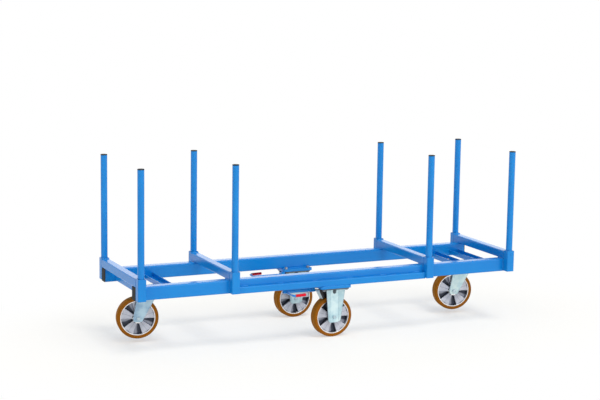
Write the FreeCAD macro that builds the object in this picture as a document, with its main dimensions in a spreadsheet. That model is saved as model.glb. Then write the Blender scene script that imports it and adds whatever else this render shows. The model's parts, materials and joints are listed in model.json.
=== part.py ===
"""Long material cart: a welded tube frame on four castors set in a diamond, with eight stakes that lift out.

Origin on the floor under the middle of the cart. +X runs along the rails, +Y away from the near rail, +Z up.
The two fixed wheels at mid-length stand on the floor. The swivel wheels at the ends are a little higher.
"""
import FreeCAD, Part
import math
import os
from types import SimpleNamespace

import Sketcher
from FreeCAD import Placement, Rotation, Vector

DOCUMENT = FreeCAD.newDocument("long_material_cart")
SHEET = DOCUMENT.addObject("Spreadsheet::Sheet", "sizes")

# Driving dimensions, millimetres and counts
DRIVING = {
    # side rails and their plastic end plugs
    "rail_length": 2492, "rail_width": 60, "rail_height": 80, "rail_wall": 4, "rail_corner": 8,
    "rail_offset": 281, "plug_flange": 4, "plug_depth": 26, "plug_play": 0.5, "plug_wall": 3,
    # cross bearers, stake pockets and the strips welded along the rails between the inner pockets
    "bearer_side": 50, "bearer_wall": 3, "bearer_corner": 6, "outer_station": 1225, "inner_station": 647,
    "pocket_side": 50, "pocket_wall": 4, "pocket_corner": 6, "pocket_height": 130, "pocket_lift": 5,
    "pocket_floor": 5, "drain_radius": 7,
    "strip_height": 40, "strip_depth": 30, "strip_wall": 3, "strip_corner": 5,
    # stakes
    "stake_radius": 20, "stake_wall": 2.5, "stake_rise": 632, "stake_seat": 0.5,
    "stake_cap_height": 5, "stake_cap_plug": 22, "stake_cap_play": 0.3, "stake_cap_round": 1.5,
    # channels across the ends that carry the swivel castors
    "channel_width": 70, "channel_height": 30, "channel_wall": 5, "channel_offset": 87,
    # wheels
    "wheel_radius": 125, "tread_width": 60, "tread_thickness": 20, "tread_shoulder": 8,
    "rim_width": 56, "rim_thickness": 7, "web_thickness": 9, "hub_radius": 32, "hub_width": 66,
    "hub_bore": 18, "rib_count": 10, "rib_thickness": 6, "rib_hub_width": 58, "rib_waist_width": 40,
    "rib_rim_width": 46, "bearing_radius": 23.5, "bearing_width": 14, "bearing_play": 0.06,
    "axle_radius": 10, "axle_bolt_radius": 6, "bolt_play": 0.3, "axle_head_radius": 11, "axle_head_height": 8,
    # castors
    "castor_height": 305, "plate_length": 175, "plate_width": 140, "plate_thickness": 6, "plate_corner": 12,
    "bolt_spacing_long": 150, "bolt_spacing_wide": 105, "bolt_radius": 6, "bolt_head_radius": 10.5,
    "bolt_head_height": 7.5, "nut_height": 10, "leg_gap": 74, "leg_thickness": 6, "castor_shift": 11,
    # fixed castors
    "pad_thickness": 15, "pad_length": 200, "fixed_offset": 278, "leg_face": 56, "leg_foot_drop": 34,
    "wing_top_width": 34, "wing_top_depth": 18, "wing_foot_width": 11, "wing_foot_depth": 6, "foot_bevel": 12,
    "sight_slot_radius": 11, "sight_slot_drop": 25,
    # swivel castors
    "swivel_station": 1074, "swivel_trail": 66, "swivel_turn": -10.5, "end_wheel_raise": 23,
    "crown_drop": 22, "crown_thickness": 8, "crown_front": 57, "crown_back": 66, "fork_foot": 30,
    "fork_foot_drop": 21, "bend_radius": 10, "race_radius": 46, "race_wall": 12, "race_depth": 12,
    "race_play": 1, "collar_rise": 14, "kingpin_radius": 10, "kingpin_nut_radius": 17,
    "kingpin_nut_height": 12, "kingpin_play": 1,
    # foot brakes on the fixed castors, shoe drawn where it touches the tread and raised by the stroke
    "brake_shaft_radius": 12, "brake_shaft_wall": 3, "brake_shaft_start": -286, "brake_shaft_end": -78,
    "brake_shaft_offset": 222, "brake_shaft_height": 283.5, "collar_radius": 15, "collar_start": -109,
    "collar_width": 7, "pedal_station": -265, "pedal_drop": 5, "pedal_reach": 113, "pedal_bend": 11,
    "pedal_radius": 6, "pedal_length": 73, "pedal_slope": 2, "sleeve_radius": 8.5, "sleeve_round": 3,
    "sleeve_end": 5, "brake_play": 0.06, "block_station": -90, "block_width": 21, "block_top": 26,
    "block_radius": 15, "brake_stroke": 8, "shoe_centre": 56, "shoe_width": 48, "shoe_gap": 0.3,
    "shoe_back": -80, "shoe_front": -50, "shoe_heel": -56, "shoe_toe": -22, "shoe_rise": 0.5,
    "link_start": -78, "link_width": 20, "link_depth": 12,
}

NEAR, FAR = -1, 1
LEFT, RIGHT = -1, 1
FRONT_VIEW = "XZ_Plane"
PLAN_VIEW = "XY_Plane"
END_VIEW = "YZ_Plane"


class Size:
    """A length that carries its number and the sheet expression that it comes from."""

    def __init__(self, number, text):
        self.number = float(number)
        self.text = text

    def combined(self, other, sign, number):
        return Size(number, f"({self.text} {sign} {other.text})")

    def __add__(self, other):
        other = as_size(other)
        return self.combined(other, "+", self.number + other.number)

    def __radd__(self, other):
        return as_size(other) + self

    def __sub__(self, other):
        other = as_size(other)
        return self.combined(other, "-", self.number - other.number)

    def __rsub__(self, other):
        return as_size(other) - self

    def __mul__(self, other):
        other = as_size(other)
        return self.combined(other, "*", self.number * other.number)

    def __rmul__(self, other):
        return as_size(other) * self

    def __truediv__(self, other):
        other = as_size(other)
        return self.combined(other, "/", self.number / other.number)

    def __neg__(self):
        return Size(-self.number, f"(0 - {self.text})")


def as_size(value):
    """A plain number becomes a size whose expression is that number."""
    return value if isinstance(value, Size) else Size(value, f"({float(value)})")


def sine(angle):
    return Size(math.sin(math.radians(angle.number)), f"sin({angle.text} * 1deg)")


def cosine(angle):
    return Size(math.cos(math.radians(angle.number)), f"cos({angle.text} * 1deg)")


def enter_driving_dimensions():
    """Put every driving dimension into the sheet and return them as sizes, by name."""
    for row, (alias, number) in enumerate(DRIVING.items(), start=1):
        SHEET.set(f"A{row}", str(number))
        SHEET.setAlias(f"A{row}", alias)
    DOCUMENT.recompute()
    return SimpleNamespace(**{alias: Size(getattr(SHEET, alias), f"sizes.{alias}") for alias in DRIVING})


D = enter_driving_dimensions()

# Levels above the floor and distances that several pieces share
RAIL_BOTTOM = D.castor_height + D.pad_thickness
RAIL_TOP = RAIL_BOTTOM + D.rail_height
RAIL_INNER = D.rail_offset - D.rail_width / 2
RAIL_OUTER = D.rail_offset + D.rail_width / 2
POCKET_BOTTOM = RAIL_BOTTOM + D.pocket_lift
POCKET_TOP = POCKET_BOTTOM + D.pocket_height
STAKE_OFFSET = RAIL_OUTER + D.pocket_side / 2
STATIONS = (-D.outer_station, -D.inner_station, D.inner_station, D.outer_station)
SWIVEL_TOP = D.castor_height + D.end_wheel_raise
SWIVEL_STATIONS = {LEFT: D.castor_shift - D.swivel_station, RIGHT: D.castor_shift + D.swivel_station}
AXLE_DROP = D.castor_height - D.wheel_radius
LEG_INNER = D.leg_gap / 2
LEG_OUTER = LEG_INNER + D.leg_thickness
RIM_RADIUS = D.wheel_radius - D.tread_thickness


# Helpers for bodies, sketches and features

def bind(item, path, size):
    """Tie one property of an object to the sheet."""
    item.setExpression(path, as_size(size).text)


def place(item, x=0, y=0, z=0, rotation=None):
    """Give an object its placement, with the position tied to the sheet."""
    if rotation is not None:
        item.Placement = Placement(Vector(), rotation)
    for axis, size in zip("xyz", (x, y, z)):
        bind(item, f"Placement.Base.{axis}", size)
    return item


def turned(angle, rotation=Rotation()):
    """A rotation followed by a turn about the vertical."""
    return Rotation(Vector(0, 0, 1), as_size(angle).number) * rotation


def along_axle(where, turn, distance):
    """A place moved along the axle of a wheel that is turned about the vertical."""
    x, y, z = where
    return x - sine(turn) * distance, y + cosine(turn) * distance, z


def new_body(name):
    return DOCUMENT.addObject("PartDesign::Body", name)


def origin_part(body, role):
    return next(item for item in body.Origin.OriginFeatures if item.Role == role)


def new_sketch(body, plane, name, offset=0):
    """A sketch on one of the body's own planes, moved along the plane's normal by the offset."""
    sketch = body.newObject("Sketcher::SketchObject", name)
    sketch.AttachmentSupport = (origin_part(body, plane), [""])
    sketch.MapMode = "FlatFace"
    bind(sketch, "AttachmentOffset.Base.z", offset)
    return sketch


def fix(sketch, kind, *where):
    """Add a dimension whose last argument is a size, tied to the sheet."""
    size = as_size(where[-1])
    index = sketch.addConstraint(Sketcher.Constraint(kind, *where[:-1], size.number))
    bind(sketch, f"Constraints[{index}]", size)


def fix_point(sketch, geometry, position, x, y):
    fix(sketch, "DistanceX", -1, 1, geometry, position, x)
    fix(sketch, "DistanceY", -1, 1, geometry, position, y)


def vector(x, y):
    return Vector(as_size(x).number, as_size(y).number, 0)


def draw_circle(sketch, x, y, radius):
    circle = sketch.addGeometry(Part.Circle(vector(x, y), Vector(0, 0, 1), as_size(radius).number))
    fix_point(sketch, circle, 3, x, y)
    fix(sketch, "Radius", circle, radius)


def draw_polygon(sketch, corners):
    """A closed outline of straight sides through the corners."""
    points = [vector(x, y) for x, y in corners]
    sides = [sketch.addGeometry(Part.LineSegment(a, b)) for a, b in zip(points, points[1:] + points[:1])]
    for side, following in zip(sides, sides[1:] + sides[:1]):
        sketch.addConstraint(Sketcher.Constraint("Coincident", side, 2, following, 1))
    for side, (x, y) in zip(sides, corners):
        fix_point(sketch, side, 1, x, y)


def draw_rounded_rectangle(sketch, width, height, radius, x=0, y=0):
    """Four straight sides joined by tangent corner arcs, centred on (x, y)."""
    reach_x = width / 2 - radius
    reach_y = height / 2 - radius
    centres = [(x + reach_x, y + reach_y), (x - reach_x, y + reach_y),
               (x - reach_x, y - reach_y), (x + reach_x, y - reach_y)]
    arcs = []
    for quarter, (cx, cy) in enumerate(centres):
        circle = Part.Circle(vector(cx, cy), Vector(0, 0, 1), as_size(radius).number)
        start = quarter * math.pi / 2
        arcs.append(sketch.addGeometry(Part.ArcOfCircle(circle, start, start + math.pi / 2)))
    for arc, following in zip(arcs, arcs[1:] + arcs[:1]):
        first = sketch.getPoint(arc, 2)
        second = sketch.getPoint(following, 1)
        side = sketch.addGeometry(Part.LineSegment(first, second))
        sketch.addConstraint(Sketcher.Constraint("Tangent", arc, 2, side, 1))
        sketch.addConstraint(Sketcher.Constraint("Tangent", side, 2, following, 1))
    for arc, (cx, cy) in zip(arcs, centres):
        fix_point(sketch, arc, 3, cx, cy)
        fix(sketch, "Radius", arc, radius)


def draw_strap(sketch, left, right, top, centre, radius):
    """A strap hanging from a straight top edge, its slanting sides tangent to a round foot."""
    cx, cy = centre
    circle = Part.Circle(vector(cx, cy), Vector(0, 0, 1), as_size(radius).number)
    foot = sketch.addGeometry(Part.ArcOfCircle(circle, math.pi, 2 * math.pi))
    top_left, top_right = vector(left, top), vector(right, top)
    left_side = sketch.addGeometry(Part.LineSegment(top_left, sketch.getPoint(foot, 1)))
    right_side = sketch.addGeometry(Part.LineSegment(sketch.getPoint(foot, 2), top_right))
    top_side = sketch.addGeometry(Part.LineSegment(top_right, top_left))
    sketch.addConstraint(Sketcher.Constraint("Tangent", left_side, 2, foot, 1))
    sketch.addConstraint(Sketcher.Constraint("Tangent", foot, 2, right_side, 1))
    sketch.addConstraint(Sketcher.Constraint("Coincident", right_side, 2, top_side, 1))
    sketch.addConstraint(Sketcher.Constraint("Coincident", top_side, 2, left_side, 1))
    fix_point(sketch, foot, 3, cx, cy)
    fix(sketch, "Radius", foot, radius)
    fix_point(sketch, left_side, 1, left, top)
    fix_point(sketch, right_side, 2, right, top)


def pad(body, sketch, length, symmetric=False, reverse=False):
    feature = body.newObject("PartDesign::Pad", "pad")
    feature.Profile = sketch
    feature.SideType = "Symmetric" if symmetric else "One side"
    feature.Reversed = reverse
    bind(feature, "Length", length)
    sketch.Visibility = False
    return feature


def pocket(body, sketch, depth, symmetric=False, reverse=False):
    """Cut a sketch out of the body, and make sure that it did cut."""
    DOCUMENT.recompute()
    before = body.Shape.Volume
    feature = body.newObject("PartDesign::Pocket", "pocket")
    feature.Profile = sketch
    feature.SideType = "Symmetric" if symmetric else "One side"
    feature.Reversed = reverse
    bind(feature, "Length", depth)
    DOCUMENT.recompute()
    if body.Shape.Volume >= before:
        raise RuntimeError(f"a pocket in {body.Label} cut nothing")
    return feature


def revolve(body, sketch):
    """Turn a sketch on the plan plane about the body's Y axis."""
    feature = body.newObject("PartDesign::Revolution", "revolution")
    feature.Profile = sketch
    feature.ReferenceAxis = (sketch, ["V_Axis"])
    feature.Angle = 360
    return feature


def mirror(body, features, plane):
    """Repeat features on the other side of one of the body's own planes."""
    feature = body.newObject("PartDesign::Mirrored", "mirrored")
    feature.Originals = features
    feature.MirrorPlane = (origin_part(body, plane), [""])
    body.Tip = feature
    return feature


def round_edges(body, radius, wanted):
    """Fillet every edge of the body so far for which wanted(edge) is true."""
    DOCUMENT.recompute()
    base = body.Tip
    names = [f"Edge{i}" for i, edge in enumerate(base.Shape.Edges, start=1) if wanted(edge)]
    if not names:
        raise RuntimeError(f"no edge to round in {body.Label}")
    feature = body.newObject("PartDesign::Fillet", "fillet")
    feature.Base = (base, names)
    bind(feature, "Radius", radius)
    return feature


def edge_lies_at(edge, **where):
    """True if the whole edge keeps the given coordinates, such as y=20, within a hundredth of a millimetre."""
    box = edge.BoundBox
    for axis, size in where.items():
        number = as_size(size).number
        low, high = getattr(box, f"{axis.upper()}Min"), getattr(box, f"{axis.upper()}Max")
        if abs(low - number) > 0.01 or abs(high - number) > 0.01:
            return False
    return True


def group(label, members):
    """One sub-part made of several separate solids."""
    compound = DOCUMENT.addObject("Part::Compound", label)
    compound.Links = members
    return compound


def cylinder(name, radius, height, x=0, y=0, z=0, rotation=None):
    item = DOCUMENT.addObject("Part::Cylinder", name)
    bind(item, "Radius", radius)
    bind(item, "Height", height)
    return place(item, x, y, z, rotation)


def hexagon(name, radius, height, x=0, y=0, z=0, rotation=None):
    item = DOCUMENT.addObject("Part::Prism", name)
    item.Polygon = 6
    bind(item, "Circumradius", radius)
    bind(item, "Height", height)
    return place(item, x, y, z, rotation)


def fuse(name, shapes):
    item = DOCUMENT.addObject("Part::MultiFuse", name)
    item.Shapes = shapes
    return item


def cut(name, base, tool):
    item = DOCUMENT.addObject("Part::Cut", name)
    item.Base = base
    item.Tool = tool
    return item


# Frame

def box_tube(name, plane, width, height, wall, corner, length):
    """A straight box tube with rounded edges, centred on its own origin."""
    body = new_body(name)
    section = new_sketch(body, plane, "section")
    draw_rounded_rectangle(section, width, height, corner)
    draw_rounded_rectangle(section, width - wall * 2, height - wall * 2, corner - wall / 2)
    pad(body, section, length, symmetric=True)
    return body


def make_rail(name, side):
    rail = box_tube(name, END_VIEW, D.rail_width, D.rail_height, D.rail_wall, D.rail_corner, D.rail_length)
    return place(rail, 0, D.rail_offset * side, RAIL_BOTTOM + D.rail_height / 2)


def make_end_plug(side, end):
    """Plastic plug: a flange over the tube's end and a hollow spigot inside it."""
    body = new_body("end_plug")
    face = new_sketch(body, END_VIEW, "face")
    draw_rounded_rectangle(face, D.rail_width, D.rail_height, D.rail_corner)
    pad(body, face, D.plug_flange, reverse=end == LEFT)
    inset = (D.rail_wall + D.plug_play) * 2
    spigot = new_sketch(body, END_VIEW, "spigot")
    draw_rounded_rectangle(spigot, D.rail_width - inset, D.rail_height - inset, D.rail_corner - D.rail_wall / 2)
    hollow = inset + D.plug_wall * 2
    draw_rounded_rectangle(spigot, D.rail_width - hollow, D.rail_height - hollow, D.rail_corner / 4)
    pad(body, spigot, D.plug_depth, reverse=end == RIGHT)
    round_edges(body, D.plug_flange / 4, lambda edge: edge_lies_at(edge, x=D.plug_flange * end))
    return place(body, D.rail_length / 2 * end, D.rail_offset * side, RAIL_BOTTOM + D.rail_height / 2)


def make_bearer(name, station):
    """Cross tube on top of the rails, between the stake pockets."""
    side = D.bearer_side
    bearer = box_tube(name, FRONT_VIEW, side, side, D.bearer_wall, D.bearer_corner, RAIL_OUTER * 2)
    return place(bearer, station, 0, RAIL_TOP + side / 2)


def make_pocket(side, station):
    """Upright square socket welded to the rail's outer face. The stake stands on its drained floor."""
    body = new_body("pocket")
    wall = new_sketch(body, PLAN_VIEW, "wall")
    draw_rounded_rectangle(wall, D.pocket_side, D.pocket_side, D.pocket_corner)
    bore = D.pocket_side - D.pocket_wall * 2
    draw_rounded_rectangle(wall, bore, bore, D.pocket_corner / 2)
    pad(body, wall, D.pocket_height)
    floor = new_sketch(body, PLAN_VIEW, "floor")
    draw_rounded_rectangle(floor, D.pocket_side, D.pocket_side, D.pocket_corner)
    draw_circle(floor, 0, 0, D.drain_radius)
    pad(body, floor, D.pocket_floor)
    return place(body, station, STAKE_OFFSET * side, POCKET_BOTTOM)


def make_strip(name, side):
    """Box strip that stiffens the rail's lower half between the two inner pockets."""
    length = D.inner_station * 2 - D.pocket_side
    strip = box_tube(name, END_VIEW, D.strip_depth, D.strip_height, D.strip_wall, D.strip_corner, length)
    return place(strip, 0, (RAIL_OUTER + D.strip_depth / 2) * side, RAIL_BOTTOM + D.strip_height / 2)


def make_channel(end, step):
    """Open channel between the rails, its web down, drilled for a row of castor bolts."""
    body = new_body("castor_channel")
    half, wall = D.channel_width / 2, D.channel_wall
    section = new_sketch(body, FRONT_VIEW, "section")
    draw_polygon(section, [
        (-half, 0), (half, 0), (half, D.channel_height), (half - wall, D.channel_height),
        (half - wall, wall), (-half + wall, wall), (-half + wall, D.channel_height),
        (-half, D.channel_height)])
    pad(body, section, RAIL_INNER * 2, symmetric=True)
    round_edges(body, wall, lambda edge: edge_lies_at(edge, x=half, z=0) or edge_lies_at(edge, x=-half, z=0))
    bolt_row = (D.bolt_spacing_long / 2 - D.channel_offset) * step
    holes = new_sketch(body, PLAN_VIEW, "bolt_holes")
    for across in (-D.bolt_spacing_wide / 2, D.bolt_spacing_wide / 2):
        draw_circle(holes, bolt_row, across, D.bolt_radius + D.bolt_play)
    pocket(body, holes, wall, reverse=True)
    return place(body, SWIVEL_STATIONS[end] + D.channel_offset * step, 0, SWIVEL_TOP)


# Stakes

def make_stake(name, side, station):
    length = D.pocket_height - D.pocket_floor - D.stake_seat + D.stake_rise - D.stake_cap_height
    body = new_body(name)
    section = new_sketch(body, PLAN_VIEW, "section")
    draw_circle(section, 0, 0, D.stake_radius)
    draw_circle(section, 0, 0, D.stake_radius - D.stake_wall)
    pad(body, section, length)
    return place(body, station, STAKE_OFFSET * side, POCKET_BOTTOM + D.pocket_floor + D.stake_seat)


def make_stake_cap(name, side, station):
    """Flat plastic cap with a spigot in the stake's bore."""
    body = new_body(name)
    disc = new_sketch(body, PLAN_VIEW, "disc")
    draw_circle(disc, 0, 0, D.stake_radius)
    pad(body, disc, D.stake_cap_height)
    spigot = new_sketch(body, PLAN_VIEW, "spigot")
    spigot_radius = D.stake_radius - D.stake_wall - D.stake_cap_play
    draw_circle(spigot, 0, 0, spigot_radius)
    draw_circle(spigot, 0, 0, spigot_radius - D.stake_wall)
    pad(body, spigot, D.stake_cap_plug, reverse=True)
    round_edges(body, D.stake_cap_round, lambda edge: edge_lies_at(edge, z=D.stake_cap_height))
    return place(body, station, STAKE_OFFSET * side, POCKET_TOP + D.stake_rise - D.stake_cap_height)


# Wheels

def make_tread(name, where, turn):
    """Polyurethane tyre cast round the rim, with rounded shoulders."""
    body = new_body(name)
    profile = new_sketch(body, PLAN_VIEW, "profile")
    half = D.tread_width / 2
    outer = D.wheel_radius
    draw_polygon(profile, [(RIM_RADIUS, -half), (outer, -half), (outer, half), (RIM_RADIUS, half)])
    revolve(body, profile)
    across = outer.number * 2 - 1
    round_edges(body, D.tread_shoulder, lambda edge: edge.BoundBox.XLength > across)
    return place(body, *where, turned(turn))


def make_wheel_centre(name, where, turn):
    """Cast aluminium centre: hub, thin web and rim, braced by dished radial ribs on both sides of the web."""
    body = new_body(name)
    half_rim, half_web, half_hub = D.rim_width / 2, D.web_thickness / 2, D.hub_width / 2
    rim_inside = RIM_RADIUS - D.rim_thickness
    seat = D.bearing_radius
    shoulder = half_hub - D.bearing_width
    upper = [(D.hub_bore, shoulder), (seat, shoulder), (seat, half_hub), (D.hub_radius - 2, half_hub),
             (D.hub_radius + 3, half_web), (rim_inside - 2, half_web), (rim_inside + 2, half_rim),
             (RIM_RADIUS, half_rim)]
    lower = [(radius, -height) for radius, height in reversed(upper)]
    profile = new_sketch(body, PLAN_VIEW, "profile")
    draw_polygon(profile, upper + lower)
    revolve(body, profile)
    rib_start, rib_end = D.hub_radius - 4, rim_inside + 3
    waist = (rib_start + rib_end) / 2
    rib_upper = [(rib_start, D.rib_hub_width / 2), (waist, D.rib_waist_width / 2),
                 (rib_end, D.rib_rim_width / 2)]
    rib_lower = [(radius, -height) for radius, height in reversed(rib_upper)]
    rib_outline = new_sketch(body, PLAN_VIEW, "rib_outline")
    draw_polygon(rib_outline, rib_upper + rib_lower)
    rib = pad(body, rib_outline, D.rib_thickness, symmetric=True)
    DOCUMENT.recompute()
    ribs = body.newObject("PartDesign::PolarPattern", "ribs")
    ribs.Originals = [rib]
    ribs.Axis = (origin_part(body, "Y_Axis"), [""])
    ribs.Angle = 360
    bind(ribs, "Occurrences", D.rib_count)
    body.Tip = ribs
    return place(body, *where, turned(turn))


def make_bearing(where, turn, face):
    """Shielded ball bearing in one end of the hub, its shields set back between the two races."""
    body = new_body("bearing")
    inner = D.axle_radius + D.bearing_play
    half = D.bearing_width / 2
    shield = half - 1
    inner_race, outer_race = inner + 4, D.bearing_radius - 4
    upper = [(inner, half), (inner_race, half), (inner_race, shield), (outer_race, shield),
             (outer_race, half), (D.bearing_radius, half)]
    lower = [(radius, -height) for radius, height in reversed(upper)]
    profile = new_sketch(body, PLAN_VIEW, "profile")
    draw_polygon(profile, upper + lower)
    revolve(body, profile)
    seat = (D.hub_width - D.bearing_width) / 2 * face
    return place(body, *along_axle(where, turn, seat), turned(turn))


def make_axle(label, where, turn, seat):
    """Through bolt with its nut, and the spacer sleeve that the bearings run on between the legs."""
    across = turned(turn, Rotation(Vector(1, 0, 0), -90))

    def rod(name, radius, start, length):
        return cylinder(name, radius, length, *along_axle(where, turn, start), across)

    def six_sided(name, start, height):
        return hexagon(name, D.axle_head_radius, height, *along_axle(where, turn, start), across)

    head = six_sided("axle_head", -seat - D.axle_head_height, D.axle_head_height)
    shank = rod("axle_shank", D.axle_bolt_radius, -seat - D.axle_head_height / 2,
                seat * 2 + D.axle_head_height + D.nut_height)
    half = D.leg_gap / 2
    sleeve = cut("axle_sleeve", rod("sleeve_outside", D.axle_radius, -half, D.leg_gap),
                 rod("sleeve_bore", D.axle_bolt_radius + 0.1, -half - 1, D.leg_gap + 2))
    nut = cut("axle_nut", six_sided("nut_outside", seat, D.nut_height),
              rod("nut_bore", D.axle_bolt_radius + 0.05, seat - 1, D.nut_height + 2))
    return group(label, [fuse("axle_bolt", [head, shank]), sleeve, nut])


def make_wheel(name, where, turn):
    return [
        make_wheel_centre(f"{name}_wheel_centre", where, turn),
        make_tread(f"{name}_tread", where, turn),
        group(f"{name}_wheel_bearings", [make_bearing(where, turn, face) for face in (NEAR, FAR)]),
    ]


# Castors

def draw_bolt_circles(sketch, radius):
    x, y = D.bolt_spacing_long / 2, D.bolt_spacing_wide / 2
    for long_side in (-1, 1):
        for wide_side in (-1, 1):
            draw_circle(sketch, x * long_side, y * wide_side, radius)


def make_castor_bolt(x, y, plate_top, grip, with_nut):
    """Hexagon bolt put in from below through the castor plate, with a nut on top where one shows."""
    seat = plate_top - D.plate_thickness
    head = hexagon("bolt_head", D.bolt_head_radius, D.bolt_head_height, x, y, seat - D.bolt_head_height)
    length = D.plate_thickness + grip + D.bolt_head_height / 2
    if with_nut:
        length = length + D.nut_height + 3
    shank = cylinder("bolt_shank", D.bolt_radius, length, x, y, seat - D.bolt_head_height / 2)
    solids = [fuse("castor_bolt", [head, shank])]
    if with_nut:
        top = plate_top + grip
        solids.append(cut("castor_nut",
                          hexagon("nut_body", D.bolt_head_radius, D.nut_height, x, y, top),
                          cylinder("nut_thread", D.bolt_radius + 0.05, D.nut_height + 2, x, y, top - 1)))
    return solids


def make_pad(side):
    """Thick plate welded under the rail, drilled for the fixed castor's bolts."""
    body = new_body("castor_pad")
    outline = new_sketch(body, PLAN_VIEW, "outline")
    draw_rounded_rectangle(outline, D.pad_length, D.plate_width - 2, D.plate_corner)
    draw_bolt_circles(outline, D.bolt_radius + D.bolt_play)
    pad(body, outline, D.pad_thickness)
    return place(body, D.castor_shift, D.fixed_offset * side, D.castor_height)


def make_fixed_bracket(name, side):
    """Pressed bracket: a drilled plate and two legs whose splayed wings widen from foot to plate."""
    body = new_body(name)
    plate = new_sketch(body, PLAN_VIEW, "plate")
    draw_rounded_rectangle(plate, D.plate_length, D.plate_width, D.plate_corner)
    draw_bolt_circles(plate, D.bolt_radius + D.bolt_play)
    pad(body, plate, D.plate_thickness, reverse=True)
    top, foot = -D.plate_thickness, -AXLE_DROP - D.leg_foot_drop

    def leg_section(section_name, level, wing_width, wing_depth):
        face, tip = D.leg_face / 2, D.leg_face / 2 + wing_width
        sketch = new_sketch(body, PLAN_VIEW, section_name, level)
        outer, inner = -LEG_OUTER, -LEG_INNER
        draw_polygon(sketch, [
            (-tip, outer - wing_depth), (-face, outer), (face, outer), (tip, outer - wing_depth),
            (tip, inner - wing_depth), (face, inner), (-face, inner), (-tip, inner - wing_depth)])
        return sketch

    leg = body.newObject("PartDesign::AdditiveLoft", "leg")
    leg.Profile = leg_section("leg_top", top, D.wing_top_width, D.wing_top_depth)
    leg.Sections = [leg_section("leg_foot", foot, D.wing_foot_width, D.wing_foot_depth)]
    leg.Ruled = True
    DOCUMENT.recompute()
    mirror(body, [leg], FRONT_VIEW)
    holes = new_sketch(body, FRONT_VIEW, "holes")
    slot = D.sight_slot_radius
    draw_strap(holes, -slot, slot, top - 3, (0, -D.sight_slot_drop), slot)
    draw_circle(holes, 0, -AXLE_DROP, D.axle_bolt_radius + D.bolt_play)
    corner = D.leg_face / 2 + D.wing_foot_width
    bevel = D.foot_bevel + 5
    for hand in (-1, 1):
        edge = (corner + 5) * hand
        draw_polygon(holes, [(edge, foot - 5), (edge - (bevel + 5) * hand, foot - 5), (edge, foot + bevel)])
    pocket(body, holes, LEG_OUTER * 4, symmetric=True)
    return place(body, D.castor_shift, D.fixed_offset * side, D.castor_height)


def make_swivel_plate(name, end):
    """Drilled top plate with the pressed bowl of the swivel bearing below it."""
    body = new_body(name)
    plate = new_sketch(body, PLAN_VIEW, "plate")
    draw_rounded_rectangle(plate, D.plate_length, D.plate_width, D.plate_corner)
    draw_bolt_circles(plate, D.bolt_radius + D.bolt_play)
    draw_circle(plate, 0, 0, D.kingpin_radius + 0.05)
    pad(body, plate, D.plate_thickness, reverse=True)
    bowl = new_sketch(body, PLAN_VIEW, "bowl", -D.plate_thickness)
    draw_circle(bowl, 0, 0, D.race_radius)
    draw_circle(bowl, 0, 0, D.race_radius - D.race_wall)
    pad(body, bowl, D.race_depth, reverse=True)
    rim_level = -D.plate_thickness - D.race_depth
    outer = D.race_radius * 2
    round_edges(body, D.race_wall / 3,
                lambda edge: edge_lies_at(edge, z=rim_level) and edge.BoundBox.XLength > outer.number - 1)
    return place(body, SWIVEL_STATIONS[end], 0, SWIVEL_TOP)


def make_kingpin(end):
    """Swivel bolt through the plate, with the nut that keeps the fork on it."""
    x = SWIVEL_STATIONS[end]
    crown_bottom = SWIVEL_TOP - D.crown_drop - D.crown_thickness
    nut_top = crown_bottom - D.kingpin_play
    length = SWIVEL_TOP - nut_top + D.kingpin_nut_height
    pin = cylinder("kingpin_shank", D.kingpin_radius, length, x, 0, SWIVEL_TOP - length)
    nut = cut("kingpin_nut",
              hexagon("kingpin_nut_body", D.kingpin_nut_radius, D.kingpin_nut_height, x, 0,
                      nut_top - D.kingpin_nut_height),
              cylinder("kingpin_nut_thread", D.kingpin_radius + 0.05, D.kingpin_nut_height + 2, x, 0,
                       nut_top - D.kingpin_nut_height - 1))
    return [pin, nut]


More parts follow.
